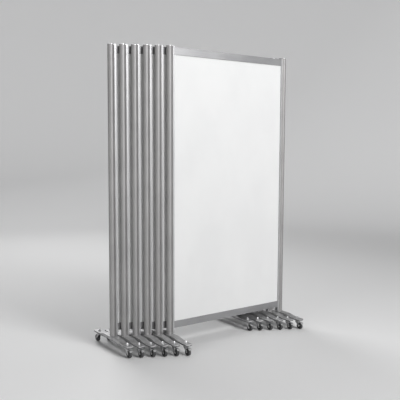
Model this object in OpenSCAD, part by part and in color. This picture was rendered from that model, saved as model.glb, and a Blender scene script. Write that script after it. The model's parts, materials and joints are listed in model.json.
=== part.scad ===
// Rolling partition: six framed panels on T-feet with swivel casters, parked nested.
// X runs along the panels, -Y is the front, Z is up; millimetres.
// Origin: on the floor, at the middle of the nest's footprint.

/* [Nest] */
// Sideways step from one panel to the next
step_x = 69; // [60:1:90]
// Step towards the front from one panel to the next
step_y = 37.5; // [36:0.5:60]

/* [Panel] */
// Floor to the top of the post caps
overall_h = 2080; // [1500:10:2400]
// Post centre to post centre
post_spacing = 1054; // [700:2:1500]
// Outer diameter of the round part of a post
post_d = 40; // [40:1:42]
// Wall of the post and rail extrusions
wall_t = 2.4; // [2:0.1:3]
// Distance that the flange reaches from the post's axis
flange_reach = 34.5; // [34:0.5:40]
// Thickness of the frame: post flanges and rails
frame_t = 27.6; // [27:0.2:30]
// Height of the top and bottom rails
rail_h = 50; // [45:1:70]
// Drop from the cap's top to the top rail
rail_drop = 10; // [8:1:40]
// Floor to the underside of the bottom rail
rail_z = 131; // [120:1:200]
// Thickness of the white board
board_t = 18; // [12:0.5:19]
// Depth of the slot that holds the board
slot_depth = 12; // [11:0.5:12]
// Thickness of the rubber gasket round the board
gasket_t = 1.5; // [1:0.5:1.5]
// Thickness of a post cap's head
cap_t = 4; // [3:0.5:8]

/* [Foot] */
// Length of a foot bar
foot_len = 490; // [400:2:700]
// Width of a foot bar
foot_w = 50; // [46:1:55]
// Floor to the foot's underside
foot_z = 66; // [64:1:80]
// Height of the foot at its caster pads
pad_h = 14.5; // [12:0.5:20]
// Height of the foot under the post
crest_h = 29; // [22:0.5:36]
// Distance from the post at which the crest begins to fall
crest_y = 70; // [40:1:100]
// Distance from the post at which the pad begins
pad_y = 178; // [140:1:180]
// Distance from the post to a caster's stem
stem_y = 201; // [190:1:320]

/* [Caster] */
// Wheel diameter
wheel_d = 50; // [45:1:50]
// Wheel width
wheel_w = 18; // [14:1:20]
// Trail from the stem to the axle
trail = 26; // [22:1:27]
// Reach of the brake pedal from the stem
pedal_reach = 58; // [54:1:59]
// Width of the brake pedal
pedal_w = 17; // [14:1:18]

/* [Hidden] */
$fn = 48;
NUDGE = 1; // cutters run this far past a face
SEAM = 0.03; // hairline between two pieces that bear on each other
RUN_GAP = 0.06; // radial clearance of a turning fit
FIT_GAP = 0.05; // radial clearance of a fixed fit
PANELS = 6;
SIDES = [["left", -1], ["right", 1]];
ENDS = [["front", -1], ["rear", 1]];

// frame
post_r = post_d / 2;
bore_r = post_r - wall_t;
slot_w = board_t + 2 * gasket_t;
post_half = post_spacing / 2;
rail_half = post_half - flange_reach - SEAM;
rail_top = overall_h - rail_drop;
post_z = foot_z + crest_h;
post_h = overall_h - cap_t - post_z - 2 * SEAM;
slot_floor = flange_reach - slot_depth;
slot_play = 0.5; // from the gasket's edge to the slot's floor
board_half = post_half - slot_floor - gasket_t - slot_play;
board_low = rail_z + rail_h - slot_depth + gasket_t + slot_play;
board_high = rail_top - rail_h + slot_depth - gasket_t - slot_play;
groove_r = 1.1; // shadow groove between the round tube and the flange
cap_lip = 0.8;
cap_edge = 1;
cap_plug_h = 12;
insert_h = 50;
connector_len = 72;
connector_play = 1;
gasket_inset = 1; // from the gasket's lip to the slot's mouth

// foot and its fasteners
foot_corner_r = 9;
foot_skin = 4.5;
foot_rib = 5;
boss_half = 24; // solid length under the post and at each stem
bolt_r = 5;
bolt_hole_r = 5.2;
bolt_head_af = 15;
bolt_head_h = 6.4;
bolt_recess_h = 8;
bolt_recess_r = 10; // room for a socket round the bolt's head
bolt_seat_z = foot_z + bolt_recess_h;
bolt_len = 60;
nut_af = 16;
nut_h = 8;
nut_dome_r = 7.5;
nut_neck_h = 2.5; // straight part between the hexagon and the dome
blend_steps = 8;

// caster
wheel_r = wheel_d / 2;
wheel_gap = 0.8; // from the wheel to each cheek
cheek_t = 1.8;
fork_w = wheel_w + 2 * (wheel_gap + cheek_t);
fork_slot_w = fork_w - 2 * cheek_t;
fork_back = 12.5;
fork_front = 14;
fork_drop = 6; // from the foot's underside to the fork
fork_plate_t = 2.6;
fork_top = foot_z - fork_drop;
fork_ceiling = fork_top - fork_plate_t;
fork_heel_h = 6;
crown_r = 13.5;
crown_taper = 1.5;
collar_r = 13;
collar_h = 3;
crown_gap = 0.4; // between the turning crown and the fixed collar
crown_top = foot_z - collar_h - crown_gap;
kingpin_r = 5;
kingpin_head_r = 8;
kingpin_head_h = 2;
kingpin_gap = 0.9; // from the fork's plate to the kingpin's head
kingpin_low = fork_ceiling - kingpin_gap - kingpin_head_h;
axle_r = 3;
axle_head_r = 4.6;
axle_head_h = 2.1;
axle_boss_r = 7;
cheek_low = [5.4, -4.5]; // where a cheek's edges meet the axle boss, from the axle
cheek_high = [-6.4, 2.8];
tyre_in_r = 17.5;
tyre_round = 3;
hub_r = 6.5;
hub_dish = 1.6;
hub_rim_t = 2;
pivot_y = 12.6; // pedal pivot, in front of the stem
pivot_pin_r = 1.5;
pivot_hub_r = 2.6;
pivot_gap = 0.6; // from the pedal's hub to the fork's plate
pivot_z = fork_ceiling - pivot_hub_r - pivot_gap;
pedal_t = 2.2;
pedal_bend_y = 44;
pedal_fall = 0.8; // from the pivot to the bend
pedal_tip_drop = 5;
shoe_len = 6;
shoe_gap = 2.8; // from the brake shoe to the tyre
shoe_bite = 0.2; // the shoe's root runs this far into the pedal

// Half the difference between the front reach (pedals) and the rear reach (wheels)
centre_y = (pedal_reach - trail - wheel_r) / 2;

function panel_x(k) = (k - (PANELS + 1) / 2) * step_x;
function panel_y(k) = centre_y - (k - (PANELS + 1) / 2) * step_y;
function wave(t) = (1 - cos(180 * t)) / 2;

FRONT_NODES = ["front_left_post", "front_right_post", "front_post_caps", "front_post_inserts",
    "front_top_rail", "front_bottom_rail", "front_rail_connectors", "front_board",
    "front_board_gasket", "front_left_foot", "front_right_foot", "front_foot_bolts",
    "front_caster_stems", "front_acorn_nuts"];

// ---------- placing ----------

module on_panel(k) { translate([panel_x(k), panel_y(k), 0]) children(); }

// A left post's piece, mirrored for the right post
module on_post(side) {
    if (side < 0) translate([-post_half, 0, 0]) children();
    else translate([post_half, 0, 0]) mirror([1, 0, 0]) children();
}

// At a caster's stem; the caster trails outwards, away from the panel
module on_stem(side, end) {
    translate([side * post_half, end * stem_y, 0]) rotate([0, 0, end < 0 ? 0 : 180]) children();
}

// ---------- posts ----------

module post_outline(grow) {
    circle(r = post_r + grow);
    translate([0, -frame_t / 2 - grow]) square([flange_reach + grow, frame_t + 2 * grow]);
}

module post_section() {
    groove_x = sqrt(post_r * post_r - frame_t * frame_t / 4);
    difference() {
        post_outline(0);
        circle(r = bore_r);
        translate([slot_floor, -slot_w / 2]) square([slot_depth + NUDGE, slot_w]);
        for (m = [-1, 1]) translate([groove_x, m * frame_t / 2]) circle(r = groove_r);
    }
}

module post() { translate([0, 0, post_z + SEAM]) linear_extrude(post_h) post_section(); }

module post_cap() {
    translate([0, 0, overall_h - cap_t]) {
        linear_extrude(cap_t - cap_edge) post_outline(cap_lip);
        linear_extrude(cap_t) post_outline(cap_lip - cap_edge);
        translate([0, 0, -cap_plug_h]) cylinder(r = bore_r - FIT_GAP, h = cap_plug_h);
    }
}

module post_insert() {
    translate([0, 0, post_z + SEAM]) difference() {
        cylinder(r = bore_r - FIT_GAP, h = insert_h);
        translate([0, 0, -NUDGE]) cylinder(r = bolt_r + FIT_GAP, h = insert_h + 2 * NUDGE);
    }
}

// ---------- rails and board ----------

// The board's slot opens towards +Y here; a closed box chamber lies behind it
module rail_section() {
    difference() {
        translate([-frame_t / 2, 0]) square([frame_t, rail_h]);
        translate([-slot_w / 2, rail_h - slot_depth]) square([slot_w, slot_depth + NUDGE]);
        translate([-frame_t / 2 + wall_t, wall_t])
            square([frame_t - 2 * wall_t, rail_h - slot_depth - 2 * wall_t]);
    }
}

module rail() {
    translate([-rail_half, 0, 0]) rotate([90, 0, 90]) linear_extrude(2 * rail_half) rail_section();
}

module bottom_rail() { translate([0, 0, rail_z]) rail(); }

module top_rail() { translate([0, 0, rail_top]) mirror([0, 0, 1]) rail(); }

// A bar inside a rail's end that reaches into the post's slot
module rail_connectors() {
    bar_h = rail_h - slot_depth - 2 * (wall_t + connector_play);
    bar_t = slot_w - connector_play;
    low_z = [rail_z + wall_t + connector_play, rail_top - wall_t - connector_play - bar_h];
    for (side = [-1, 1], z = low_z)
        on_post(side) translate([slot_floor + SEAM, -bar_t / 2, z]) cube([connector_len, bar_t, bar_h]);
}

module board_box(half_w, low, high, thick) {
    translate([-half_w, -thick / 2, low]) cube([2 * half_w, thick, high - low]);
}

module board() { board_box(board_half, board_low, board_high, board_t); }

// Four lengths with butted corners: the uprights run the full height
module board_gasket() {
    lip = slot_depth - slot_play - gasket_t - gasket_inset;
    difference() {
        board_box(board_half + gasket_t, board_low - gasket_t, board_high + gasket_t, slot_w);
        board_box(board_half, board_low, board_high, board_t);
        board_box(board_half - lip, board_low + lip, board_high - lip, slot_w + NUDGE);
        for (m = [0, 1]) mirror([m, 0, 0]) translate([board_half - lip - SEAM, -slot_w, 0])
            cube([SEAM, 2 * slot_w, overall_h]);
    }
}

// ---------- feet ----------

// Half of the foot's upper edge, from the crest out to the tip
function foot_edge(drop) = concat(
    [for (i = [0 : blend_steps])
        [crest_y + (pad_y - crest_y) * i / blend_steps,
            crest_h - drop - (crest_h - pad_h) * wave(i / blend_steps)]],
    [[foot_len / 2, pad_h - drop]]);

module foot_side(drop) {
    edge = foot_edge(drop);
    last = len(edge) - 1;
    polygon(concat([[foot_len / 2, 0]], [for (i = [last : -1 : 0]) edge[i]],
        [for (p = edge) [-p[0], p[1]]], [[-foot_len / 2, 0]]));
}

module foot_plan() {
    half = [foot_w / 2 - foot_corner_r, foot_len / 2 - foot_corner_r];
    for (x = [-half[0], half[0]], y = [-half[1], half[1]]) translate([x, y]) circle(r = foot_corner_r);
    square([foot_w, 2 * half[1]], center = true);
    square([2 * half[0], foot_len], center = true);
}

// Four open pockets underneath leave a skin, a middle rib and solid bosses
module foot_pockets() {
    pocket_w = foot_w / 2 - foot_skin - foot_rib / 2;
    pocket_len = stem_y - 2 * boss_half;
    for (x = [-1, 1], y = [-1, 1])
        translate([x * (foot_rib + pocket_w) / 2, y * stem_y / 2, 0])
            translate([-pocket_w / 2, -pocket_len / 2, -NUDGE])
                cube([pocket_w, pocket_len, crest_h + NUDGE]);
}

module foot() {
    translate([0, 0, foot_z]) difference() {
        intersection() {
            linear_extrude(crest_h) foot_plan();
            rotate([90, 0, 90]) translate([0, 0, -foot_w / 2]) linear_extrude(foot_w) foot_side(0);
        }
        intersection() {
            foot_pockets();
            rotate([90, 0, 90]) translate([0, 0, -foot_w / 2])
                linear_extrude(foot_w) translate([0, -NUDGE]) foot_side(foot_skin - NUDGE);
        }
        for (y = [-stem_y, 0, stem_y]) translate([0, y, -NUDGE]) cylinder(r = bolt_hole_r, h = 2 * crest_h);
        translate([0, 0, -NUDGE]) cylinder(r = bolt_recess_r, h = bolt_recess_h + NUDGE);
    }
}

module hexagon(across_flats) { circle(d = across_flats / cos(30), $fn = 6); }

module foot_bolt() {
    translate([0, 0, bolt_seat_z - bolt_head_h]) linear_extrude(bolt_head_h - SEAM) hexagon(bolt_head_af);
    translate([0, 0, bolt_seat_z - NUDGE]) cylinder(r = bolt_r, h = bolt_len);
}

module acorn_nut() {
    translate([0, 0, foot_z + pad_h + SEAM]) difference() {
        union() {
            linear_extrude(nut_h) hexagon(nut_af);
            cylinder(r = nut_dome_r, h = nut_h + nut_neck_h);
            translate([0, 0, nut_h + nut_neck_h]) sphere(r = nut_dome_r);
        }
        translate([0, 0, -NUDGE]) cylinder(r = bolt_r + FIT_GAP, h = nut_h + 2 * NUDGE);
    }
}

// ---------- casters ----------

// Threaded stem, fixed collar and the kingpin that the fork turns on
module caster_stem() {
    translate([0, 0, kingpin_low]) cylinder(r = kingpin_head_r, h = kingpin_head_h);
    translate([0, 0, kingpin_low]) cylinder(r = kingpin_r, h = foot_z - kingpin_low);
    translate([0, 0, foot_z - collar_h]) cylinder(r = collar_r, h = collar_h - SEAM);
    translate([0, 0, foot_z - NUDGE]) cylinder(r = bolt_r, h = pad_h + nut_h + NUDGE);
}

// Side outline of the pressed fork; the wheel trails towards -Y
module fork_side() {
    translate([-trail, wheel_r]) circle(r = axle_boss_r);
    axle = [-trail, wheel_r];
    polygon([[fork_back, fork_top], [fork_back, fork_top - fork_heel_h], axle + cheek_low,
        axle + cheek_high, [-fork_front, fork_top]]);
}

module across(width) { translate([-width / 2, 0, 0]) rotate([90, 0, 90]) linear_extrude(width) children(); }

module axle_line(radius, width) {
    translate([-width / 2, -trail, wheel_r]) rotate([0, 90, 0]) cylinder(r = radius, h = width);
}

module pivot_line(radius, width) {
    translate([-width / 2, -pivot_y, pivot_z]) rotate([0, 90, 0]) cylinder(r = radius, h = width);
}

module fork(braked) {
    difference() {
        union() {
            across(fork_w) fork_side();
            translate([0, 0, fork_top - NUDGE])
                cylinder(r1 = crown_r, r2 = crown_r - crown_taper, h = crown_top - fork_top + NUDGE);
        }
        translate([-fork_slot_w / 2, -3 * trail, -NUDGE])
            cube([fork_slot_w, 3 * trail + fork_back - cheek_t, fork_ceiling + NUDGE]);
        translate([0, 0, fork_ceiling - NUDGE]) cylinder(r = kingpin_r + RUN_GAP, h = 2 * crown_r);
        axle_line(axle_r + FIT_GAP, 2 * fork_w);
        if (braked) pivot_line(pivot_pin_r + FIT_GAP, 2 * fork_w);
    }
    axle_line(axle_r, fork_w + axle_head_h);
    for (m = [-1, 1])
        translate([m * (fork_w / 2 + SEAM + axle_head_h / 2), 0, 0]) axle_line(axle_head_r, axle_head_h);
    if (braked) pivot_line(pivot_pin_r, fork_w);
}

module tyre_section() {
    half = wheel_w / 2;
    translate([tyre_in_r, -half]) square([wheel_r - tyre_round - tyre_in_r, wheel_w]);
    translate([tyre_in_r, -half + tyre_round]) square([wheel_r - tyre_in_r, wheel_w - 2 * tyre_round]);
    for (m = [-1, 1]) translate([wheel_r - tyre_round, m * (half - tyre_round)]) circle(r = tyre_round);
}

module hub_section() {
    half = wheel_w / 2;
    bore = axle_r + RUN_GAP;
    rim = tyre_in_r - hub_rim_t;
    translate([bore, -half]) square([hub_r - bore, wheel_w]);
    translate([bore, -half + hub_dish]) square([rim - bore, wheel_w - 2 * hub_dish]);
    translate([rim - NUDGE, -half]) square([tyre_in_r - FIT_GAP - rim + NUDGE, wheel_w]);
}

module wheel() {
    translate([0, -trail, wheel_r]) rotate([0, 90, 0]) {
        rotate_extrude() tyre_section();
        rotate_extrude() hub_section();
    }
}

module pedal_side() {
    top = pivot_z + pivot_hub_r;
    tip = top - pedal_tip_drop;
    polygon([[-pivot_y, top], [-pedal_bend_y, top - pedal_fall], [-pedal_reach, tip],
        [-pedal_reach, tip - pedal_t], [-pedal_bend_y, top - pedal_fall - pedal_t],
        [-pivot_y, top - pedal_t]]);
    translate([-pivot_y, pivot_z]) circle(r = pivot_hub_r);
    shoe_low = wheel_d + shoe_gap;
    translate([-trail - shoe_len / 2, shoe_low]) square([shoe_len, top - pedal_t + shoe_bite - shoe_low]);
}

module brake_pedal() {
    difference() {
        across(pedal_w) pedal_side();
        pivot_line(pivot_pin_r + RUN_GAP, 2 * fork_w);
    }
}

// ---------- nodes of the front panel ----------

module front_left_post() { color("silver") on_panel(PANELS) on_post(-1) post(); }
module front_right_post() { color("silver") on_panel(PANELS) on_post(1) post(); }
module front_post_caps() { color("gainsboro") on_panel(PANELS) for (s = SIDES) on_post(s[1]) post_cap(); }
module front_post_inserts() { color("gray") on_panel(PANELS) for (s = SIDES) on_post(s[1]) post_insert(); }
module front_top_rail() { color("silver") on_panel(PANELS) top_rail(); }
module front_bottom_rail() { color("silver") on_panel(PANELS) bottom_rail(); }
module front_rail_connectors() { color("gray") on_panel(PANELS) rail_connectors(); }
module front_board() { color("white") on_panel(PANELS) board(); }
module front_board_gasket() { color("lightgray") on_panel(PANELS) board_gasket(); }
module front_left_foot() { color("darkgray") on_panel(PANELS) on_post(-1) foot(); }
module front_right_foot() { color("darkgray") on_panel(PANELS) on_post(1) foot(); }
module front_foot_bolts() { color("gray") on_panel(PANELS) for (s = SIDES) on_post(s[1]) foot_bolt(); }

module front_caster_stems() {
    color("silver") on_panel(PANELS) for (s = SIDES, e = ENDS) on_stem(s[1], e[1]) caster_stem();
}

module front_acorn_nuts() {
    color("white") on_panel(PANELS) for (s = SIDES, e = ENDS) on_stem(s[1], e[1]) acorn_nut();
}

module front_fork(side, end) { color("silver") on_panel(PANELS) on_stem(side, end) fork(end < 0); }
module front_wheel(side, end) { color("dimgray") on_panel(PANELS) on_stem(side, end) wheel(); }
module front_brake_pedal(side) { color("gainsboro") on_panel(PANELS) on_stem(side, -1) brake_pedal(); }

// ---------- nodes of the other panels ----------

module panel_frame(k) {
    color("silver") on_panel(k) {
        for (s = SIDES) on_post(s[1]) {
            post();
            post_cap();
            post_insert();
        }
        top_rail();
        bottom_rail();
        rail_connectors();
    }
}

module panel_board(k) {
    color("white") on_panel(k) {
        board();
        board_gasket();
    }
}

module panel_feet(k) {
    color("darkgray") on_panel(k) {
        for (s = SIDES) on_post(s[1]) {
            foot();
            foot_bolt();
        }
        for (s = SIDES, e = ENDS) on_stem(s[1], e[1]) {
            caster_stem();
            acorn_nut();
        }
    }
}

module panel_caster(k, side, end) {
    color("dimgray") on_panel(k) on_stem(side, end) {
        fork(end < 0);
        wheel();
        if (end < 0) brake_pedal();
    }
}

front_left_post();
front_right_post();
front_post_caps();
front_post_inserts();
front_top_rail();
front_bottom_rail();
front_rail_connectors();
front_board();
front_board_gasket();
front_left_foot();
front_right_foot();
front_foot_bolts();
front_caster_stems();
front_acorn_nuts();

for (s = SIDES, e = ENDS) {
    front_fork(s[1], e[1]);
    front_wheel(s[1], e[1]);
}
for (s = SIDES) front_brake_pedal(s[1]);

for (k = [1 : PANELS - 1]) {
    panel_frame(k);
    panel_board(k);
    panel_feet(k);
    for (s = SIDES, e = ENDS)
        panel_caster(k, s[1], e[1]);
}
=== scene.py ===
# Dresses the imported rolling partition: six framed boards on T-feet with swivel casters.
# Everything is in metres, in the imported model's own frame.
import json
import math

import bpy
import numpy as np
from mathutils import Matrix, Vector

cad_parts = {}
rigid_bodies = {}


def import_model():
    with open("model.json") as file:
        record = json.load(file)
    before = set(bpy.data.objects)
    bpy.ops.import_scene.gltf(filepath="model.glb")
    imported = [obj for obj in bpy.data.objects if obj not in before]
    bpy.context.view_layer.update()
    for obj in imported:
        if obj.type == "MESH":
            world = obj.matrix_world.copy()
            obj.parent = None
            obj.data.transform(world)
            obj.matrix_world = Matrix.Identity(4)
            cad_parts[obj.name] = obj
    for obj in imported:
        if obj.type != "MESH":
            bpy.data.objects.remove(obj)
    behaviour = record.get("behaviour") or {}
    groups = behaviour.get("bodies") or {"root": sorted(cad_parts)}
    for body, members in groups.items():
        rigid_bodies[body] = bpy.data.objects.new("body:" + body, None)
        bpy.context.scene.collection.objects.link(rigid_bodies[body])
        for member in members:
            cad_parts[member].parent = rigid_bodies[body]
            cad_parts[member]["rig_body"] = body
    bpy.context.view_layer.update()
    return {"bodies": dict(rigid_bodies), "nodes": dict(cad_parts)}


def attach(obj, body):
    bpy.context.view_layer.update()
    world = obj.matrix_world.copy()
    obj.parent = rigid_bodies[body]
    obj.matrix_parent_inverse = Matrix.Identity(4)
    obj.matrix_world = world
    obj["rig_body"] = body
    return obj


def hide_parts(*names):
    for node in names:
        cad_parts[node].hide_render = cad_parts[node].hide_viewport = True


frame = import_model()
print("frame loaded:", len(frame["nodes"]), "nodes")

mm = 0.001


# One method makes every node: its settings are set first, then each socket gets its value or
# its link. What comes back is one of its outputs, if it has any
def addNode(tree, kind, settings=None, sockets=None, out=0):
    node = tree.nodes.new(kind)
    for key, value in (settings or {}).items():
        setattr(node, key, value)
    for key, value in (sockets or {}).items():
        if isinstance(value, Sock):
            tree.links.new(value.out, node.inputs[key])
        else:
            node.inputs[key].default_value = value
    return Sock(tree, node.outputs[out]) if node.outputs else None


# A node's output; arithmetic on it adds Math nodes
class Sock:
    def __init__(self, tree, out):
        self.tree, self.out = tree, out

    def maths(self, operation, *values):
        return addNode(self.tree, "ShaderNodeMath", {"operation": operation},
                       dict(enumerate(values)))

    def __add__(self, other):
        return self.maths("ADD", self, other)

    def __sub__(self, other):
        return self.maths("SUBTRACT", self, other)

    def __rsub__(self, other):
        return self.maths("SUBTRACT", other, self)

    def __mul__(self, other):
        return self.maths("MULTIPLY", self, other)

    __radd__ = __add__
    __rmul__ = __mul__

    # 0 below low, 1 above high, smooth between them
    def rise(self, low, high):
        return addNode(self.tree, "ShaderNodeMapRange", {"interpolation_type": "SMOOTHSTEP"},
                       {"Value": self, "From Min": low, "From Max": high})


# One material: object coordinates in, a Principled surface out
class Finish:
    def __init__(self, name):
        self.material = bpy.data.materials.new(name)
        self.material.use_nodes = True
        self.tree = self.material.node_tree
        self.tree.nodes.clear()
        self.place = addNode(self.tree, "ShaderNodeTexCoord", out="Object")

    def noise(self, stretch, scale, detail, rough=0.5):
        vector = addNode(self.tree, "ShaderNodeMapping", None,
                         {"Vector": self.place, "Scale": stretch})
        return addNode(self.tree, "ShaderNodeTexNoise", None,
                       {"Vector": vector, "Scale": scale, "Detail": detail, "Roughness": rough})

    def height(self):
        return addNode(self.tree, "ShaderNodeSeparateXYZ", None, {"Vector": self.place}, "Z")

    def attribute(self, name):
        return addNode(self.tree, "ShaderNodeAttribute", {"attribute_name": name}, None, "Fac")

    # the piece's own edge attribute, broken up by a noise so that wear is patchy
    def wear(self, patches):
        return self.attribute("edge").rise(0.12, 0.75) * patches.rise(0.30, 0.62)

    # dark + factor * (pale - dark); each end is a colour or another node's output. The colours
    # are sockets 6 and 7 of the Mix node, and output 2
    def blend(self, factor, dark, pale):
        ends = [end if isinstance(end, Sock) else (*end, 1.0) for end in (dark, pale)]
        return addNode(self.tree, "ShaderNodeMix", {"data_type": "RGBA"},
                       {0: factor, 6: ends[0], 7: ends[1]}, 2)

    def bump(self, height, strength, distance):
        return addNode(self.tree, "ShaderNodeBump", None,
                       {"Height": height, "Strength": strength, "Distance": distance})

    # the surface's sockets by name, with _ for a space
    def done(self, **sockets):
        named = {key.replace("_", " "): value for key, value in sockets.items()}
        surface = addNode(self.tree, "ShaderNodeBsdfPrincipled", None, named)
        addNode(self.tree, "ShaderNodeOutputMaterial", None, {"Surface": surface})
        return self.material


# Colours as (dark, pale), the ends that a finish's own cloudiness moves between
aluminium = {
    "flat": ((0.46, 0.46, 0.472), (0.60, 0.60, 0.605)),
    # painted shade: the tube's tone is the flats' own aluminium painted darker
    "round": ((0.342, 0.337, 0.337), (0.445, 0.439, 0.437)),
    # painted shade: the rails' tone is the flats' own aluminium painted darker
    "rail": ((0.325, 0.325, 0.334), (0.43, 0.43, 0.435)),
    "mill": ((0.50, 0.50, 0.515), (0.66, 0.66, 0.665)),
    "lineScale": 700.0,     # drawn lines per metre across the pull
    "linePull": 0.006,      # the noise's scale along the pull, as a share of that across it
}


# Satin anodised extrusion: fine drawn lines along its length, faint cloudiness, handled gloss
def drawnAluminium(name, tones, stretch, roughness, rounded=False):
    f = Finish(name)
    lines = f.noise(stretch, aluminium["lineScale"], 4.0, 0.6)
    cloud = f.noise((1, 1, 1), 6.0, 3.0)
    grain = f.noise((1, 1, 1), 2600.0, 2.0)
    tone = (lines * 0.55 + cloud * 0.45).rise(0.25, 0.75)
    colour = f.blend(tone, *aluminium[tones])
    rough = roughness + lines * 0.09 + cloud * 0.07
    if rounded:     # the tube is painted darker than the flange's flats, as painted shade on the one extrusion, and is more matt
        flat = f.attribute("flat")
        colour = f.blend(flat, f.blend(tone, *aluminium["round"]), colour)
        rough = rough - flat * 0.17
    return f.done(
        Base_Color=colour,
        Metallic=1.0,
        Roughness=rough,
        Normal=f.bump(lines * 0.8 + grain * 0.2, 0.12, 0.05 * mm),
    )


board = {"dark": (0.885, 0.888, 0.888), "pale": (0.925, 0.927, 0.925), "roughness": 0.36}


# White laminate: a faint orange-peel skin and the slightest wiped cloudiness
def whiteLaminate():
    f = Finish("white_laminate")
    cloud = f.noise((1, 1, 0.6), 3.2, 4.0)
    peel = f.noise((1, 1, 1), 420.0, 2.0)
    wiped = f.noise((0.25, 1, 1), 14.0, 3.0)
    return f.done(
        Base_Color=f.blend(cloud.rise(0.3, 0.7), board["dark"], board["pale"]),
        Roughness=board["roughness"] + cloud * 0.05 + wiped * 0.06,
        Normal=f.bump(peel, 0.05, 0.1 * mm),
    )


casting = {
    "dark": (0.22, 0.22, 0.23),
    "pale": (0.59, 0.59, 0.59),
    "roughness": 0.50,
    "shadeBelow": (0.068, 0.080),      # heights between which the painted shade low down fades out
}


# Cast and tumbled aluminium: pebbled skin, cloudy tone, painted darker low down as painted shade
def castAluminium():
    f = Finish("cast_aluminium")
    skin = f.noise((1, 1, 1), 900.0, 4.0, 0.6)
    cloud = f.noise((1, 1, 1), 22.0, 4.0)
    # painted shade: the lower faces, such as the pads' ends, are darkened
    low = 1.0 - f.height().rise(*casting["shadeBelow"])
    worn = f.wear(cloud)
    tone = (cloud * 0.7 + skin * 0.3 - low * 0.45 + worn * 0.30).rise(0.0, 0.75)
    return f.done(
        Base_Color=f.blend(tone, casting["dark"], casting["pale"]),
        Metallic=1.0,
        Roughness=casting["roughness"] + skin * 0.10 + cloud * 0.08 - worn * 0.12,
        Normal=f.bump(skin, 0.30, 0.12 * mm),
    )


# Plated steel: cloudy passivation with a faint warm and cool drift
def platedSteel(name, dark, pale, roughness, grainScale):
    f = Finish(name)
    cloud = f.noise((1, 1, 1), 60.0, 4.0)
    grain = f.noise((1, 1, 1), grainScale, 3.0)
    worn = f.wear(cloud)
    return f.done(
        Base_Color=f.blend((cloud * 0.8 + worn * 0.4).rise(0.25, 0.85), dark, pale),
        Metallic=1.0,
        Roughness=roughness + cloud * 0.08 + grain * 0.06 - worn * 0.06,
        Normal=f.bump(grain, 0.10, 0.05 * mm),
    )


# Moulded rubber or plastic: fine pebble, paler where floor dust has settled near the ground
def moulded(name, dark, pale, roughness, dustTop):
    f = Finish(name)
    pebble = f.noise((1, 1, 1), 1500.0, 3.0)
    cloud = f.noise((1, 1, 1), 90.0, 4.0)
    dust = (1.0 - f.height().rise(0.0, dustTop)) * cloud.rise(0.35, 0.75)
    worn = f.wear(cloud)
    return f.done(
        Base_Color=f.blend((dust * 0.7 + pebble * 0.25 + worn * 0.3).rise(0.05, 0.9), dark, pale),
        Roughness=roughness + pebble * 0.12 + worn * 0.08,
        Normal=f.bump(pebble, 0.20, 0.06 * mm),
    )


# The finishes, each under the key that the dress table names
finishes = {
    "post": drawnAluminium("anodised_post", "flat", (1, 1, aluminium["linePull"]), 0.56, True),
    # the rails take the darker rail tone, painted shade on the posts' own aluminium
    "rail": drawnAluminium("anodised_rail", "rail", (aluminium["linePull"], 1, 1), 0.36),
    "insert": drawnAluminium("mill_aluminium", "mill", (1, 1, aluminium["linePull"]), 0.36),
    "cap": platedSteel("satin_cap", (0.60, 0.60, 0.61), (0.72, 0.72, 0.72), 0.26, 1200.0),
    "board": whiteLaminate(),
    "gasket": moulded("grey_gasket", (0.17, 0.17, 0.18), (0.26, 0.26, 0.26), 0.62, 0.05),
    "foot": castAluminium(),
    "steel": platedSteel("zinc_bolt", (0.50, 0.50, 0.51), (0.64, 0.64, 0.63), 0.28, 1500.0),
    "chrome": platedSteel("bright_nut", (0.74, 0.74, 0.75), (0.84, 0.84, 0.84), 0.22, 1500.0),
    "fork": platedSteel("zinc_fork", (0.40, 0.40, 0.415), (0.56, 0.56, 0.55), 0.27, 1500.0),
    "wheel": moulded("grey_tyre", (0.052, 0.052, 0.055), (0.16, 0.16, 0.158), 0.50, 0.035),
    "hub": moulded("black_hub", (0.016, 0.016, 0.017), (0.05, 0.05, 0.05), 0.38, 0.03),
    "pedal": platedSteel("bright_pedal", (0.68, 0.68, 0.69), (0.82, 0.82, 0.81), 0.30, 1500.0),
}
print("finishes made:", len(finishes))


# How sharply each vertex bulges, 0 on flats to 1 on an outer edge: the mean over its edges of
# step . change of normal / step^2, times the rounding's radius that counts as fully worn
def edgeWear(mesh, radius=2.4 * mm):
    points, normals = np.empty(len(mesh.vertices) * 3), np.empty(len(mesh.vertices) * 3)
    mesh.vertices.foreach_get("co", points)
    mesh.vertices.foreach_get("normal", normals)
    ends = np.empty(len(mesh.edges) * 2, np.int64)
    mesh.edges.foreach_get("vertices", ends)
    points, normals, ends = points.reshape(-1, 3), normals.reshape(-1, 3), ends.reshape(-1, 2)
    step, turn = (field[ends[:, 1]] - field[ends[:, 0]] for field in (points, normals))
    bulge = (step * turn).sum(1) / np.maximum((step * step).sum(1), 1e-12)
    total, count = np.zeros(len(points)), np.zeros(len(points))
    for end in (0, 1):
        np.add.at(total, ends[:, end], bulge)
        np.add.at(count, ends[:, end], 1)
    worn = np.clip(total / np.maximum(count, 1) * radius, 0, 1)
    values = mesh.attributes.new("edge", "FLOAT", "POINT").data
    values.foreach_set("value", worn.astype(np.float32))


# Marks an extrusion's broad flats with 1: faces whose area over the mesh's height is more than
# the given width
def markFlats(mesh, width=9 * mm):
    area = np.empty(len(mesh.polygons))
    mesh.polygons.foreach_get("area", area)
    points = np.empty(len(mesh.vertices) * 3)
    mesh.vertices.foreach_get("co", points)
    flat = area / np.ptp(points[2::3]) > width
    values = mesh.attributes.new("flat", "FLOAT", "FACE").data
    values.foreach_set("value", flat.astype(np.float32))


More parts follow.
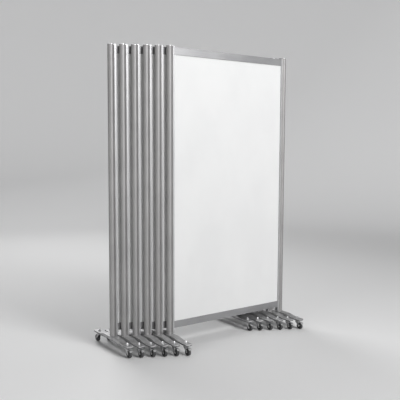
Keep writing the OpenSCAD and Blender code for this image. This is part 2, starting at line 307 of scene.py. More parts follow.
# A mesh from points and blocks of faces, each block an array with a row for every face: corners
# run on through the blocks, and a face starts where the sizes before it add up to
def meshOf(name, points, blocks):
    mesh = bpy.data.meshes.new(name)
    corners = np.concatenate([block.ravel() for block in blocks])
    sizes = np.concatenate([np.full(len(block), block.shape[1]) for block in blocks])
    mesh.vertices.add(len(points))
    mesh.vertices.foreach_set("co", points.ravel().astype(np.float32))
    mesh.loops.add(len(corners))
    mesh.loops.foreach_set("vertex_index", corners.astype(np.int32))
    mesh.polygons.add(len(sizes))
    mesh.polygons.foreach_set("loop_start", (np.cumsum(sizes) - sizes).astype(np.int32))
    mesh.update(calc_edges=True)
    mesh.validate()
    return mesh


sharpFrom = math.radians(34)    # faces that meet at more than this keep a sharp edge
bevelFrom = math.radians(40)    # on pieces with a bevel, edges that turn by more are rounded


# Points and blocks of faces become a smooth-shaded object at the origin, with its finish. It
# rides on the body and takes the place of the replaced nodes
def addPiece(name, points, blocks, finish, body, replaced, bevel, shaped):
    mesh = meshOf(name, points, blocks)
    if finish == "post":
        markFlats(mesh)
    elif shaped:
        edgeWear(mesh)
    mesh.shade_smooth()
    mesh.set_sharp_from_angle(angle=sharpFrom)
    piece = bpy.data.objects.new(name, mesh)
    bpy.context.scene.collection.objects.link(piece)
    mesh.materials.append(finishes[finish])
    if bevel:
        edge = piece.modifiers.new("edge", "BEVEL")
        edge.width, edge.segments = bevel
        edge.limit_method = "ANGLE"
        edge.angle_limit = bevelFrom
        edge.use_clamp_overlap = True
        edge.harden_normals = True
    if finish in ("post", "board"):
        piece.modifiers.new("normals", "WEIGHTED_NORMAL").keep_sharp = True
    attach(piece, body)
    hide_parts(*replaced)


# Merged copy of a node, cut into its separate solids: a triangle's corners share the lowest
# label that reaches them
def solidsOf(node):
    mesh = frame["nodes"][node].data
    points = np.empty(len(mesh.vertices) * 3)
    mesh.vertices.foreach_get("co", points)
    points = points.reshape(-1, 3)
    corners = np.empty(len(mesh.loops), np.int64)
    mesh.loops.foreach_get("vertex_index", corners)
    _, first, back = np.unique(np.round(points * 1e6).astype(np.int64), axis=0,
                               return_index=True, return_inverse=True)
    triangles = back.reshape(-1)[corners.reshape(-1, 3)]
    points = points[first]
    triangles = triangles[(triangles != np.roll(triangles, -1, 1)).all(1)]
    label = np.arange(len(points))
    while True:
        lowest = label[triangles].min(1)
        spread = label.copy()
        for corner in range(3):
            np.minimum.at(spread, triangles[:, corner], lowest)
        spread = spread[spread]
        if (spread == label).all():
            break
        label = spread
    solids = []
    for mark in np.unique(label[triangles[:, 0]]):
        mine = triangles[label[triangles[:, 0]] == mark]
        used, local = np.unique(mine, return_inverse=True)
        solids.append((points[used], local.reshape(-1, 3)))
    return solids


# Limits in metres that tell the kinds apart: extents along X, Y or Z, and heights of a solid's
# lowest or highest point above the floor
tell = {
    "uprightZ": 1.5, "stripX": 0.02, "postX": 0.1,          # gasket, post, board
    "railX": 0.8, "railZ": 0.03, "footY": 0.4,              # rail, gasket, foot
    "capHigh": 2.0, "capZ": 0.03,
    "connectorX": 0.072, "connectorSlack": 0.002,
    "insertZ": 0.045, "insertLow": 0.09,
    "nutLow": 0.079, "boltLow": 0.066, "stemLow": 0.0535,
    "wheelX": 0.0185, "tyreZ": 0.045, "hubZ": 0.03,
    "forkHigh": 0.061, "pedalY": 0.03, "axleLow": 0.04,     # the rest is a pin
}


# Which piece of the object a solid is, from its size and its height above the floor
def kindOf(points):
    low, high = points.min(0), points.max(0)
    x, y, z = high - low
    bottom, top = low[2], high[2]
    if z > tell["uprightZ"]:
        if x < tell["stripX"]:
            return "gasket"
        return "post" if x < tell["postX"] else "board"
    if x > tell["railX"]:
        return "rail" if z > tell["railZ"] else "gasket"
    if y > tell["footY"]:
        return "foot"
    if top > tell["capHigh"] and z < tell["capZ"]:
        return "cap"
    if abs(x - tell["connectorX"]) < tell["connectorSlack"]:
        return "connector"
    if z > tell["insertZ"] and bottom > tell["insertLow"]:
        return "insert"
    if bottom > tell["nutLow"]:
        return "nut"
    if bottom > tell["boltLow"]:
        return "bolt"
    if bottom > tell["stemLow"]:
        return "stem"
    if z > tell["tyreZ"] and x < tell["wheelX"]:
        return "tyre"
    if z > tell["hubZ"] and x < tell["wheelX"]:
        return "hub"
    if top > tell["forkHigh"]:
        return "fork"
    if y > tell["pedalY"]:
        return "pedal"
    return "axle" if bottom < tell["axleLow"] else "pin"


# Several shapes become one: each one's face blocks count on from the points before it
def joined(parts):
    points, blocks, count = [], [], 0
    for shapePoints, shapeBlocks in parts:
        points.append(shapePoints)
        blocks += [block + count for block in shapeBlocks]
        count += len(shapePoints)
    return np.concatenate(points), blocks


# A grid of points becomes blocks of faces with the same number of corners. Columns close on
# themselves, rows too if it is a loop; capped closes its two ends. Points that fall together
# are merged, and the whole is turned the right way out by the sign of its volume
def surface(grid, loop=False, capped=False):
    rows, columns = grid.shape[:2]
    i, j = np.meshgrid(np.arange(rows if loop else rows - 1), np.arange(columns), indexing="ij")
    here, below = i * columns, (i + 1) % rows * columns
    over = (j + 1) % columns
    quads = np.stack([here + j, below + j, below + over, here + over], -1)
    points = grid.reshape(-1, 3)
    _, first, back = np.unique(np.round(points * 1e7).astype(np.int64), axis=0,
                               return_index=True, return_inverse=True)
    points, quads = points[first], back.reshape(-1)[quads.reshape(-1, 4)]
    same = quads == np.roll(quads, -1, 1)
    whole = quads[~same.any(1)]
    pinched = quads[same.sum(1) == 1]
    three = pinched[~(pinched == np.roll(pinched, -1, 1))].reshape(-1, 3)
    ends = back.reshape(rows, columns)
    blocks = [whole, three] + ([ends[:1], ends[-1:, ::-1]] if capped else [])
    halves = np.concatenate([np.stack([block[:, 0], block[:, n], block[:, n + 1]], -1)
                             for block in blocks for n in range(1, block.shape[1] - 1)])
    a, b, d = (points[halves[:, n]] - points.mean(0) for n in range(3))
    if (a * np.cross(b, d)).sum() < 0:
        blocks = [block[:, ::-1] for block in blocks]
    return points, blocks


# A profile turned about an axis: at angle a a point stands at
# centre + along * axis + radius * (cos a, sin a)
def turned(centre, axis, radius, along, turns, loop=False):
    angles = np.linspace(0, 2 * math.pi, turns, endpoint=False)
    rows = len(along)
    grid = np.empty((rows, turns, 3))
    wide = np.broadcast_to(np.asarray(radius, float).reshape(rows, -1), (rows, turns))
    grid[..., axis] = np.asarray(along, float).reshape(rows, -1)
    grid[..., (axis + 1) % 3] = wide * np.cos(angles)
    grid[..., (axis + 2) % 3] = wide * np.sin(angles)
    return surface(grid * mm + centre, loop)


# Rod along X with rounded ends: its rows stand at +-half and at the insets from there, and
# its radii are those of the end's face, the rounding and the shaft
def rod(centre, half, radii, insets, turns):
    radius = np.array([0.0, *radii])
    along = np.array([0.0, 0.0, *insets]) - half
    return turned(centre, 0, np.concatenate([radius, radius[::-1]]),
                  np.concatenate([along, -along[::-1]]), turns)


# Smooth step from 0 at low to 1 at high: t^2 (3 - 2t)
def ease(value, low, high):
    t = np.clip((value - low) / (high - low), 0, 1)
    return t * t * (3 - 2 * t)


# Middle of a solid's box, and half its width along X in millimetres
def middleOf(solid):
    return (solid.min(0) + solid.max(0)) / 2, (solid[:, 0].max() - solid[:, 0].min()) / 2 / mm


# Rows of a turned hexagon: half its flats' distance over the cosine of the angle from a flat's
# middle, cut back where the row's own radius is smaller
def hexRows(flats, limits, turns):
    angles = np.linspace(0, 2 * math.pi, turns, endpoint=False)
    radius = flats / 2 / np.cos(angles % (math.pi / 3) - math.pi / 6)
    return np.minimum(np.asarray(limits, float)[:, None], radius[None, :])


# Shapes are in millimetres and are set in place by the solid they stand for

tyre = {
    "radius": 25.0,
    "half": 9.0,
    "inner": 17.5,
    "shoulder": 3.0,            # radius of the rounding between side and tread
    "shoulderTurn": 82.0,       # degrees that it turns through
    "crown": 0.35,              # how far the tread falls by its edge
    "treadEdge": 6.4,
    "groove": 0.55,
    "grooveAt": 4.2,
    "grooveWide": (0.4, 0.8),   # half its floor, half its mouth
    "ring": (19.2, 19.5, 20.7, 21.0),
    "ringDeep": 0.5,
}


# Tyre: a closed profile of seat, side with a sunk ring, round shoulder and crowned tread with
# two shallow grooves. The tread's radius falls by crown * (x / treadEdge)^2
def tyreShape(solid):
    centre, _ = middleOf(solid)
    t = tyre
    half, ringX = t["half"], t["half"] - t["ringDeep"]
    sideR = [t["inner"], t["inner"] + 0.5, *t["ring"]]
    sideX = [half - 0.6, half, half, ringX, ringX, half]
    bend = np.linspace(0, math.radians(t["shoulderTurn"]), 7)
    roundR = t["radius"] - t["shoulder"] - t["crown"] + t["shoulder"] * np.sin(bend)
    roundX = half - t["shoulder"] + t["shoulder"] * np.cos(bend)
    treadX = np.array([5.4, 4.9, 4.7, 4.5, 3.9, 3.7, 3.5, 2.4, 1.2])
    inner, outer = t["grooveWide"]
    at = t["grooveAt"]
    groove = ease(treadX, at - outer, at - inner) - ease(treadX, at + inner, at + outer)
    treadR = t["radius"] - t["crown"] * (treadX / t["treadEdge"]) ** 2 - t["groove"] * groove
    halfR = np.concatenate([sideR, roundR, treadR])
    halfX = np.concatenate([sideX, roundX, treadX])
    radius = np.concatenate([halfR, [t["radius"]], halfR[::-1]])
    along = np.concatenate([halfX, [0.0], -halfX[::-1]])
    return turned(centre, 0, radius, along, 72, True)


hub = {
    "half": 9.0,
    "bore": 3.1,
    "boss": 6.4,
    "rim": 15.6,
    "outer": 17.42,
    "web": 7.2,                 # half the web's thickness
    "pocket": 3.6,              # how far the web sinks between spokes
    "spokes": 6,
    "spokeHalf": (1.5, 2.6),    # from the spoke's flat to the pocket's floor
    "pocketIn": (7.4, 8.4),
    "pocketOut": (14.0, 15.0),
}


# Hub: boss, web and rim. Between the spokes the web's face sinks by the pocket's depth; the
# distance across a spoke is r * |sin(spokes / 2 * angle)|
def hubShape(solid, turns=96):
    centre, _ = middleOf(solid)
    h = hub
    half = h["half"]
    webR = [6.8, 7.4, 8.2, 9.0, 11.0, 13.0, 14.0, 14.8, 15.3]
    webX = [h["web"]] * len(webR)
    radius = np.array([h["bore"], 3.7, 5.9, h["boss"], *webR, h["rim"], 16.0, 17.0, h["outer"]])
    face = np.array([half - 0.6, half, half, half - 0.4, *webX, half - 0.5, half - 0.1,
                     half - 0.1, half - 0.5])
    angles = np.linspace(0, 2 * math.pi, turns, endpoint=False)
    across = np.abs(np.sin(h["spokes"] / 2 * angles))[None, :] * radius[:, None]
    pocket = ease(radius, *h["pocketIn"]) - ease(radius, *h["pocketOut"])
    one = face[:, None] - h["pocket"] * ease(across, *h["spokeHalf"]) * pocket[:, None]
    return turned(centre, 0, np.concatenate([radius, radius[::-1]]),
                  np.concatenate([one, -one[::-1]]), turns, True)


axle = {"flats": 8.0, "head": 2.05, "shaft": 2.95, "tip": 1.9}


# Axle: hexagon head, shaft and hexagon nut with a rounded thread end, from pole to pole. A row
# is (largest radius, place along the axle)
def axleShape(solid, turns=48):
    centre, end = middleOf(solid)
    shaft, tip, seat = axle["shaft"], axle["tip"], end - axle["head"]
    corner = 9.0        # beyond the hexagon's corners, so that the flats decide
    rows = [
        (0.0, -end), (3.4, -end), (3.9, 0.15 - end), (corner, 0.55 - end),
        (corner, -seat - 0.15), (4.3, -seat), (shaft, -seat),
        (shaft, seat), (4.3, seat), (corner, seat + 0.15),
        (corner, end - 0.8), (4.2, end - 0.45), (3.9, end - 0.4),
        (tip + 0.3, end - 0.4), (tip, end), (0.0, end),
    ]
    limits, along = np.array(rows).T
    return turned(centre, 0, hexRows(axle["flats"], limits, turns), along, turns)


nut = {"flats": 16.0, "height": 8.0, "dome": 7.45, "neck": 10.5, "bore": 5.08, "deep": 9.0}


# Acorn nut: bore, chamfered hexagon, then a neck that closes into a dome. The upper chamfer's
# radius falls by 1.5 * share^1.5 of its way up
def nutShape(solid, turns=72):
    base = np.array([*middleOf(solid)[0][:2], solid[:, 2].min()])
    n = nut
    height, neck, dome = n["height"], n["neck"], n["dome"]
    cut = np.linspace(0, 1, 5)
    bend = np.linspace(0.12, math.pi / 2, 11)
    limits = np.concatenate([[0.0, n["bore"], n["bore"], 7.7, 8.4, 12.0], 9.3 - 1.5 * cut ** 1.5,
                             [dome + 0.15, dome, dome], dome * np.cos(bend)])
    along = np.concatenate([[n["deep"], n["deep"], 0.0, 0.0, 0.15, 0.6],
                            height - 1.0 + 0.95 * cut, [height, height + 0.25, neck],
                            neck + dome * np.sin(bend)])
    limits[-1] = 0.0        # the dome's pole
    return turned(base, 2, hexRows(n["flats"], limits, turns), along, turns)


kingpin = {"radius": 5.0, "head": 8.0, "race": 12.95, "raceLow": 63.05, "raceHigh": 65.95}


# Caster stem: domed kingpin head, kingpin, the fixed race with its rolled edge, and the stud
# that the nut closes on. A row is (radius, height above the floor)
def stemShape(solid, turns=48):
    base = np.array([*middleOf(solid)[0][:2], 0.0])
    low, high = solid[:, 2].min() / mm, solid[:, 2].max() / mm
    k = kingpin
    shank, head, race, under, over = (k[key] for key in
                                      ("radius", "head", "race", "raceLow", "raceHigh"))
    rows = [
        (0.0, low), (4.5, low + 0.1), (head - 0.6, low + 0.45), (head, low + 0.9),
        (head, low + 1.7), (head - 0.4, low + 2.0), (shank, low + 2.0),
        (shank, under), (race - 1.55, under), (race - 0.55, under + 0.2), (race, under + 0.85),
        (race, over - 1.05), (race - 0.65, over - 0.35), (race - 1.75, over - 0.2),
        (race - 2.05, over), (shank, over),
        (shank, high - 0.6), (shank - 0.6, high), (0.0, high),
    ]
    radius, along = np.array(rows).T
    return turned(base, 2, radius, along, turns)


foot = {
    "half": 245.0,
    "width": 25.0,              # half the bar's width
    "corner": 9.0,
    "crest": 29.0,              # height under the post
    "pad": 14.5,                # height of the ends
    "crestEnd": 70.0,
    "padStart": 178.0,
    "stem": 201.0,
    "rounding": 3.0,            # of the upper edge
    "relief": 0.7,              # how far the seats stand above the rest
    "stemSeat": (12.6, 13.8),
    "postSeat": (22.6, 24.0),
    "under": (6.5, 5.0),        # lower edge: how high and how far in
    "skin": 4.5,
    "rib": (2.5, 3.4),
    "wall": (19.6, 20.5),
    "pocketFrom": (24.0, 25.2),
    "pocketTo": (175.8, 177.0),
    "boltRecess": (9.4, 10.6),
    "boltDeep": 8.0,
}


# Distance inwards from the outline, a rectangle with rounded corners: with q how far a point is
# past a corner's centre, it is corner - |q where above 0| - min(max(qx, qy), 0)
def footInside(across, along):
    s = foot
    qx, qy = np.abs(across) - s["width"] + s["corner"], along - s["half"] + s["corner"]
    return s["corner"] - np.hypot(np.maximum(qx, 0), np.maximum(qy, 0)) \
        - np.minimum(np.maximum(qx, qy), 0)


# Foot: cross-sections carried along its length. The top follows a cosine from crest to pads,
# rounds down towards the outline and stands up slightly round the post and the stems; the
# lower edge is drawn in by a chamfer, and underneath four pockets leave a skin and a rib
def footShape(solid):
    low, high = solid.min(0), solid.max(0)
    centre = np.array([(low[0] + high[0]) / 2, (low[1] + high[1]) / 2, low[2]])
    s = foot
    end = s["half"] - s["rounding"] * (1 - np.sin(np.linspace(0, math.pi / 2, 6)))
    half = np.unique(np.round(np.concatenate([
        np.linspace(0, 26, 14), s["pocketFrom"], np.linspace(30, 70, 6),
        np.linspace(76, 172, 17), s["pocketTo"], np.linspace(184, 188, 3),
        s["stem"] + 14 * np.cos(np.linspace(0, math.pi, 15)), np.linspace(218, 241, 10), end]), 3))
    y = np.concatenate([-half[:0:-1], half])[:, None]
    a = np.abs(y)
    past = np.clip(a - (s["half"] - s["corner"]), 0, s["corner"])
    width = s["width"] - s["corner"] + np.sqrt(s["corner"] ** 2 - past ** 2)
    slope = np.clip((a - s["crestEnd"]) / (s["padStart"] - s["crestEnd"]), 0, 1)
    height = s["crest"] - (s["crest"] - s["pad"]) * (1 - np.cos(np.pi * slope)) / 2

    inset = np.array([0, 0.12, 0.4, 0.9, 1.5, 2.3, 3.4, 5.0, 7.5, 10.0, 12.5, 14.0, 16.5, 19.5,
                      22.5])
    share = 1 - inset / s["width"]
    x = np.concatenate([-share, [0.0], share[::-1]])[None, :] * width
    r = s["rounding"]
    fall = r - np.sqrt(r * r - np.clip(r - footInside(x, a), 0, r) ** 2)
    seat = np.maximum(1 - ease(np.hypot(x, a - s["stem"]), *s["stemSeat"]),
                      1 - ease(np.hypot(x, y), *s["postSeat"]))
    top = height - fall - s["relief"] * (1 - seat)

    across = np.array([25, 23.5, 22, 20.5, 19.6, 14, 9, 6, 3.4, 2.5, 1.2])
    xb = (np.concatenate([across, [0.0], -across[::-1]]) / s["width"])[None, :] * width
    pocket = (ease(np.abs(xb), *s["rib"]) - ease(np.abs(xb), *s["wall"])) \
        * (ease(a, *s["pocketFrom"]) - ease(a, *s["pocketTo"]))
    recess = (1 - ease(np.hypot(xb, y), *s["boltRecess"])) * s["boltDeep"]
    rise, depth = s["under"]
    drawn = rise * np.clip(1 - footInside(xb, a) / depth, 0, 1)
    bottom = np.maximum(np.maximum(pocket * (height - s["skin"]), recess), drawn)

    loopX = np.concatenate([x, xb], 1)
    loopZ = np.concatenate([top, bottom], 1)
    grid = np.stack([loopX, np.broadcast_to(y, loopX.shape), loopZ], -1)
    return surface(grid * mm + centre, capped=True)


pedal = {
    "reach": 58.0,              # from the stem to the tip
    "pivot": (12.6, 54.2),      # from the stem, and above the floor
    "shoe": (26.0, 54.15),      # the brake's rod, likewise
    "root": 7.2,                # half widths
    "wide": 10.8,
    "tip": 7.0,
    "thick": 1.7,
    "turnDown": 1.3,
    "hang": 8.5,
    "rib": 0.5,
    "ribs": 4,
    "tread": (0.68, 0.94),      # shares of the way from the pivot to the tip
    "barrel": (8.45, (1.6, 2.2, 2.55), (0.1, 0.45), 32),    # half length, radii, insets, turns
    "brake": (7.4, (0.9, 1.3, 1.35), (0.3, 0.8), 28),
}


# Pedal plate: a thin section carried from the pivot to the tip along a bent path. Its edges
# turn down, its width swells then closes to a blunt tip, and raised ribs cross its tread. The
# barrel on the pivot and the brake shoe are rods along X
def pedalShape(solid):
    low, high = solid.min(0), solid.max(0)
    d = pedal
    stem = np.array([(low[0] + high[0]) / 2, low[1] + d["reach"] * mm, 0.0])
    pivotY, pivotZ = d["pivot"]
    start, stop = d["tread"]
    s = np.concatenate([np.linspace(0, 0.66, 12), np.linspace(start, 0.93, 33),
                        np.linspace(stop, 1.0, 9)])
    y = -pivotY - (d["reach"] - pivotY) * s
    path = high[2] / mm - 0.9 - 0.8 * ease(s, 0.0, 0.7) - d["hang"] * ease(s, 0.62, 1.04)
    width = d["root"] + (d["wide"] - d["root"]) * ease(s, 0.5, 0.8) \
        - (d["wide"] - d["tip"]) * ease(s, 0.9, 1.0) ** 1.6
    u = np.sin(np.linspace(-1, 1, 21) * math.pi / 2)
    edge = d["turnDown"] * ease(np.abs(u), 0.78, 1.0)
    tread = ease(s, start, start + 0.02) - ease(s, stop - 0.02, stop)
    wave = 0.5 - 0.5 * np.cos(2 * np.pi * d["ribs"] * (s - start) / (stop - start))
    rib = (d["rib"] * tread * wave)[:, None] * (1 - ease(np.abs(u), 0.62, 0.8))[None, :]
    upper = path[:, None] + rib - edge[None, :]
    lower = path[:, None] - d["thick"] - edge[None, :]
    x = u[None, :] * width[:, None]
    grid = np.stack([np.concatenate([x, x[:, ::-1]], 1),
                     np.broadcast_to(y[:, None], (len(s), 2 * len(u))),
                     np.concatenate([upper, lower[:, ::-1]], 1)], -1)
    first, last = (np.broadcast_to(row.mean(1, keepdims=True), row.shape)
                   for row in (grid[:1], grid[-1:]))
    plate = surface(np.concatenate([first, grid, last]) * mm + stem)
    barrel = rod(stem + np.array([0, -pivotY, pivotZ]) * mm, *d["barrel"])
    shoeY, shoeZ = d["shoe"]
    shoe = rod(stem + np.array([0, -shoeY, shoeZ]) * mm, *d["brake"])
    return joined([plate, barrel, shoe])


fork = {
    "half": 11.6,               # to the cheeks' outer faces
    "cheek": 1.8,               # thickness of a cheek
    "plate": 2.6,               # thickness of the top
    "top": 60.0,
    "bend": 2.8,
    "axle": 25.0,
    "trail": 26.0,
    "boss": 7.0,
    "front": 14.0,              # edges at the top, from the stem
    "back": 12.5,
    "frontFrom": (27.8, -32.4),     # height and place where the slanted edges start
    "backFrom": (20.5, -20.6),
    "backTop": 54.0,
    "waist": 1.4,
    "waistFrom": 28.0,
    "waistLong": 30.0,
    "pressed": 0.5,
    "panelAcross": (0.35, 0.6),
    "panelLow": (30.5, 34.0),
    "panelHigh": (49.0, 52.5),
    "crown": 13.4,
    "bore": 5.4,
    "crownTop": 62.6,
    "apron": (10.0, 2.6, 0.9, 56.6),    # half its length, height and thickness; its place
}


# Sections of a flat bar with rounded corners, one for every row: half the width, half the
# thickness, corner radius
def barLoop(wide, thick, r, across=11, turns=4):
    bend = np.linspace(0, math.pi / 2, turns)
    flat = np.linspace(1, -1, across)[1:-1]
    one, none = np.ones(turns), np.zeros(across - 2)
    a = np.concatenate([one, flat, -one, -one, -flat, one])
    b = np.concatenate([one, none + 1, one, -one, none - 1, -one])
    turn = np.concatenate([bend, none + math.pi / 2, bend + math.pi / 2, bend + math.pi,
                           none - math.pi / 2, bend - math.pi / 2])
    u = a * np.maximum(wide[:, None] - r, 0.05) + r * np.cos(turn)
    return a, u, b * (thick[:, None] - r) + r * np.sin(turn)


# Fork: one bent strip, up a cheek, over the crown and down the other. Its edges follow the
# boss's circle and the slanted sides; a shallow panel is pressed into each cheek. A crown ring
# and a rear apron complete it
def forkShape(solid):
    g = fork
    high = solid[solid[:, 2] > (g["top"] + 0.2) * mm]
    stem = np.array([*middleOf(high)[0][:2], 0.0])
    way = -1.0 if solid[:, 1].max() - stem[1] > stem[1] - solid[:, 1].min() else 1.0

    # the strip's middle line, from one cheek's foot to the middle of the top, then mirrored
    low = g["axle"] - g["boss"] * np.cos(np.radians(np.linspace(12, 75, 8)))
    cheek = [g["axle"], g["frontFrom"][0], 30.0, 32.0, 34.0, 37.0, 41.0, 45.0, 49.0, 51.0, 53.0,
             g["backTop"]]
    z = np.concatenate([low, cheek])
    x, tilt = np.full(len(z), g["half"] - g["cheek"] / 2), np.zeros(len(z))
    bend = np.linspace(0, math.pi / 2, 7)
    level = g["top"] - g["plate"] / 2
    x = np.concatenate([x, x[0] - g["bend"] * (1 - np.cos(bend)), [6.0, 4.0, 2.0]])
    z = np.concatenate([z, level - g["bend"] * (1 - np.sin(bend)), np.full(3, level)])
    tilt = np.concatenate([tilt, bend, np.full(3, math.pi / 2)])
    x, z = np.concatenate([x, [0.0], -x[::-1]]), np.concatenate([z, [level], z[::-1]])
    tilt = np.concatenate([tilt, [math.pi / 2], math.pi - tilt[::-1]])

    # its edges at each height: the slanted sides above, the boss's circle below
    chord = np.sqrt(np.maximum(g["boss"] ** 2 - (z - g["axle"]) ** 2, 0))
    waist = g["waist"] * np.sin(np.pi * np.clip((z - g["waistFrom"]) / g["waistLong"], 0, 1))
    (frontZ, frontY), (backZ, backY) = g["frontFrom"], g["backFrom"]
    slantFront = np.interp(z, [frontZ, g["top"]], [frontY, -g["front"]]) + waist
    slantBack = np.interp(z, [backZ, g["backTop"]], [backY, g["back"]]) - waist
    ahead = np.where(z >= frontZ, slantFront, -g["trail"] - chord)
    behind = np.where(z >= backZ, slantBack, -g["trail"] + chord)

    thick = (g["cheek"] + (g["plate"] - g["cheek"]) * np.sin(tilt)) / 2
    a, u, v = barLoop((behind - ahead) / 2, thick, 0.7)
    upPanel = ease(z, *g["panelLow"]) * (1 - ease(z, *g["panelHigh"]))
    panel = (1 - ease(np.abs(a), *g["panelAcross"])) * upPanel[:, None]
    v = v - g["pressed"] * panel * (v > 0)
    y = ((ahead + behind) / 2)[:, None] + u
    grid = np.stack([x[:, None] + v * np.cos(tilt)[:, None], way * y,
                     z[:, None] + v * np.sin(tilt)[:, None]], -1)
    strip = surface(grid * mm + stem, capped=True)

    ring, bore, top = g["crown"], g["bore"], g["crownTop"]
    crownRows = [(bore, top), (12.0, top), (12.7, top - 0.2), (13.2, top - 0.8),
                 (ring, top - 1.6), (ring, top - 2.2), (13.0, top - 2.8), (bore, top - 2.8)]
    radius, along = np.array(crownRows).T
    crown = turned(stem, 2, radius, along, 48, True)

    reach, tall, thin, at = g["apron"]
    rows = np.linspace(-reach, reach, 5)
    a, u, v = barLoop(np.full(5, tall), np.full(5, thin), 0.6)
    apron = np.stack([rows[:, None] + 0 * u, way * (g["back"] - thin + v), at + u], -1)
    return joined([strip, crown, surface(apron * mm + stem, capped=True)])


post = {
    "tube": 20.0,
    "reach": 34.5,              # from the tube's axis to the flange's end
    "half": 13.8,               # half the flange's thickness
    "slot": 10.9,               # half the slot's width
    "slotEnd": 22.6,
    "neck": (15.5, 21.4),
    "sunk": 3.1,
    "corner": 0.5,
}


# Post: one outline carried up its height. A tube, a sunk neck on each side, then the flange
# whose end is slotted for the board. The outline is drawn for the front half and mirrored
def postShape(solid):
    low, high = solid.min(0), solid.max(0)
    middleY = (low[1] + high[1]) / 2
    g = post
    tube = solid[np.abs(solid[:, 1] - middleY) > 15 * mm]       # only the tube is this thick
    axis = np.array([middleOf(tube)[0][0], middleY, 0.0])
    way = 1.0 if high[0] - axis[0] > axis[0] - low[0] else -1.0
    start, end = g["neck"]
    floor = g["half"] - g["sunk"]
    c = g["corner"]

    angle = np.linspace(math.pi, math.acos(start / g["tube"]), 42)
    x, y = g["tube"] * np.cos(angle), g["tube"] * np.sin(angle)
    across = np.linspace(0, 1, 6)[1:]
    bend = np.linspace(0, math.pi / 2, 4)
    x = np.concatenate([x, start + (end - start) * across, [end + 0.5, end + 0.9],
                        end + 1.2 + c * (1 - np.cos(bend)), g["reach"] - c + c * np.sin(bend),
                        [g["reach"], g["slotEnd"]]])
    y = np.concatenate([y, floor + (y[-1] - floor) * (1 - across) ** 1.6,
                        [floor + 0.3, floor + 1.0], g["half"] - c + c * np.sin(bend),
                        g["half"] - c + c * np.cos(bend), [g["slot"], g["slot"]]])
    x, y = np.concatenate([x, x[:0:-1]]), np.concatenate([y, -y[:0:-1]])

    lip = 0.4 * mm      # rows close to the ends keep the shading of the flats clean
    heights = np.array([low[2], low[2] + lip, high[2] - lip, high[2]]) / mm
    grid = np.empty((len(heights), len(x), 3))
    grid[..., 0], grid[..., 1], grid[..., 2] = way * x, -y, heights[:, None]
    return surface(grid * mm + axis, capped=True)


boardEdge = {"rounding": 0.8}


# Board: a plate with all its edges rounded. Towards each end the section shrinks along the
# same quarter circle
def boardShape(solid):
    r = boardEdge["rounding"]
    low, high = solid.min(0) / mm, solid.max(0) / mm
    half, centre = (high - low) / 2, (high + low) / 2
    bend = np.linspace(0, math.pi / 2, 5)
    x = r * (1 - np.cos(bend)) - half[0]
    x = np.concatenate([x, [0.0], -x[::-1]])
    inset = r * (1 - np.sin(bend))
    inset = np.concatenate([inset, [0.0], inset[::-1]])
    _, u, v = barLoop(half[2] - inset, half[1] - inset, r)
    return surface((np.stack([x[:, None] + 0 * u, v, u], -1) + centre) * mm, capped=True)


pin = {"radii": (0.9, 1.3, 1.5), "insets": (0.15, 0.5), "turns": 24}


# Pivot pin: a rod as long as its solid
def pinShape(solid):
    centre, half = middleOf(solid)
    return rod(centre, half, pin["radii"], pin["insets"], pin["turns"])


# Kinds that get a shape of their own in place of the solid's
shapes = {
    "tyre": tyreShape, "hub": hubShape, "axle": axleShape, "nut": nutShape,
    "stem": stemShape, "foot": footShape, "pedal": pedalShape, "fork": forkShape,
    "pin": pinShape, "post": postShape, "board": boardShape,
}

# Finish, and edge rounding as (width, segments)
dress = {
    "post": ("post", None),
    "rail": ("rail", (0.5 * mm, 2)),
    "cap": ("cap", (1.1 * mm, 3)),
    "board": ("board", None),
    "gasket": ("gasket", None),
    "insert": ("insert", None),
    "connector": ("insert", (0.8 * mm, 2)),
    "foot": ("foot", None),
    "bolt": ("steel", (0.4 * mm, 2)),
    "stem": ("steel", None),
    "nut": ("chrome", None),
    "fork": ("fork", None),
    "axle": ("steel", None),
    "pin": ("steel", None),
    "tyre": ("wheel", None),
    "hub": ("hub", None),
    "pedal": ("pedal", None),
}


# Every node is dressed as its separate kinds of solid, each with its own finish
for body in frame["bodies"]:
    for node in [n for n in frame["nodes"] if frame["nodes"][n].get("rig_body") == body]:
        groups = {}
        for solid in solidsOf(node):
            groups.setdefault(kindOf(solid[0]), []).append(solid)
        for kind, solids in groups.items():
            finish, bevel = dress[kind]
            shaped = kind in shapes
            parts = [shapes[kind](points) if shaped else (points, [triangles])
                     for points, triangles in solids]
            points, blocks = joined(parts)
            addPiece(f"{node}.{kind}", points, blocks, finish, body, (node,), bevel, shaped)
print("nodes dressed")


# Metres and watts
studio = {
    "floor": (0.36, 0.36, 0.36),        # as other surfaces see it
    "floorSeen": (0.78, 0.78, 0.78),    # as the camera, mirrors and clear pieces see it
    "floorRoughness": 0.7,
    "wallGlow": (0.24, 0.24, 0.242),    # added to what they see of the far wall
    "glowFrom": 4.0,                    # distance from the middle where the glow begins
    "floorReach": 9.0,
    "wallHeight": 5.2,
    "sweepRadius": 3.0,
    "world": (0.50, 0.505, 0.515),
    "worldStrength": 0.32,
    "lamps": [      # name, place, aim, size, power
        ("key", (1.0, -6.1, 4.1), (0.0, 0.0, 0.9), 3.2, 314.0),
        ("left", (-6.6, -1.6, 2.4), (0.0, 0.0, 0.8), 2.6, 46.0),
        ("fill", (-4.6, -5.0, 3.0), (0.0, 0.0, 1.0), 2.6, 14.0),
        ("rear", (0.4, 5.0, 4.6), (0.0, 0.0, 0.9), 3.4, 190.0),
        ("top", (0.2, -2.4, 6.0), (0.0, 0.0, 0.6), 3.2, 38.0),
    ],
}


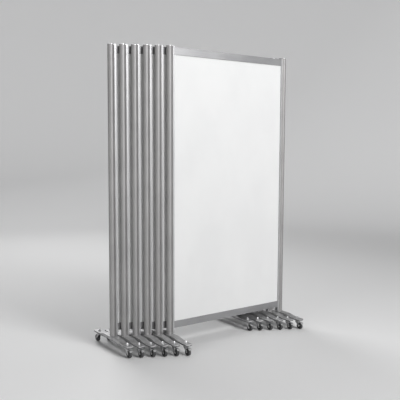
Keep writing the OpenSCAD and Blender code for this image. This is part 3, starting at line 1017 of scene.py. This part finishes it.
# Floor and wall in one turned sheet: a flat disc, a quarter-circle sweep, then a low upright wall
def studioSweep(turns=96, arcSteps=16):
    reach, radius = studio["floorReach"], studio["sweepRadius"]
    bend = np.linspace(0, math.pi / 2, arcSteps)
    out = np.concatenate([[0.0, 1.5, 4.0], reach - radius + radius * np.sin(bend), [reach]])
    up = np.concatenate([[0.0, 0.0, 0.0], radius - radius * np.cos(bend), [studio["wallHeight"]]])
    turn = np.linspace(0, 2 * math.pi, turns, endpoint=False)
    points = np.stack([np.outer(np.cos(turn), out), np.outer(np.sin(turn), out),
                       np.broadcast_to(up, (turns, len(up)))], -1).reshape(-1, 3)
    i, j = np.meshgrid(np.arange(turns), np.arange(len(out) - 1), indexing="ij")
    here, there = i * len(out) + j, (i + 1) % turns * len(out) + j
    return points, np.stack([here, here + 1, there + 1, there], -1).reshape(-1, 4)


points, faces = studioSweep()
floor = meshOf("floor", points, [faces])
floor.shade_smooth()
floorPiece = bpy.data.objects.new("floor", floor)
bpy.context.scene.collection.objects.link(floorPiece)
f = Finish("studio_floor")
ray = {out: addNode(f.tree, "ShaderNodeLightPath", out=out)
       for out in ("Is Camera Ray", "Is Glossy Ray", "Is Transmission Ray")}
seen = (ray["Is Camera Ray"] + ray["Is Glossy Ray"] + ray["Is Transmission Ray"]).rise(0.0, 1.0)
distance = addNode(f.tree, "ShaderNodeVectorMath", {"operation": "LENGTH"}, {0: f.place}, "Value")
far = distance.rise(studio["glowFrom"], studio["floorReach"])
floor.materials.append(f.done(
    Base_Color=f.blend(seen, studio["floor"], studio["floorSeen"]),
    Roughness=studio["floorRoughness"],
    Emission_Color=f.blend(far * seen, (0.0, 0.0, 0.0), studio["wallGlow"]),
    Emission_Strength=1.0,
))

world = bpy.data.worlds.new("studio")
bpy.context.scene.world = world
world.use_nodes = True
background = world.node_tree.nodes["Background"]
background.inputs["Color"].default_value = (*studio["world"], 1.0)
background.inputs["Strength"].default_value = studio["worldStrength"]

for name, place, aim, size, power in studio["lamps"]:
    lamp = bpy.data.lights.new(name, "AREA")
    lamp.shape, lamp.size, lamp.energy = "DISK", size, power
    holder = bpy.data.objects.new(name, lamp)
    holder.location = place
    holder.rotation_euler = (Vector(aim) - Vector(place)).to_track_quat("-Z", "Y").to_euler()
    bpy.context.scene.collection.objects.link(holder)


# Place in metres, angles in degrees, lens and sensor in millimetres
view = {
    "place": (-2.7058, -3.6590, 1.4115),
    "yaw": 53.790,
    "pitch": 5.039,
    "roll": 0.232,
    "lens": 56.08,
    "sensor": 36.0,
    "clipEnd": 60.0,
}


# The camera's axes from its heading: yaw from +X towards +Y, pitch down, then roll
def cameraMatrix(place, yaw, pitch, roll):
    y, p, r = (math.radians(a) for a in (yaw, pitch, roll))
    look = Vector((math.cos(y) * math.cos(p), math.sin(y) * math.cos(p), -math.sin(p)))
    right = Vector((math.sin(y), -math.cos(y), 0.0))
    up = right.cross(look)
    rightRolled = right * math.cos(r) + up * math.sin(r)
    upRolled = up * math.cos(r) - right * math.sin(r)
    turn = Matrix((rightRolled, upRolled, -look)).transposed().to_4x4()
    return Matrix.Translation(place) @ turn


camera = bpy.data.objects.new("camera", bpy.data.cameras.new("camera"))
camera.data.lens, camera.data.sensor_width = view["lens"], view["sensor"]
camera.data.clip_end = view["clipEnd"]
camera.matrix_world = cameraMatrix(view["place"], view["yaw"], view["pitch"], view["roll"])
bpy.context.scene.collection.objects.link(camera)
bpy.context.scene.camera = camera
bpy.context.scene.view_settings.view_transform = "Standard"
print("studio set")
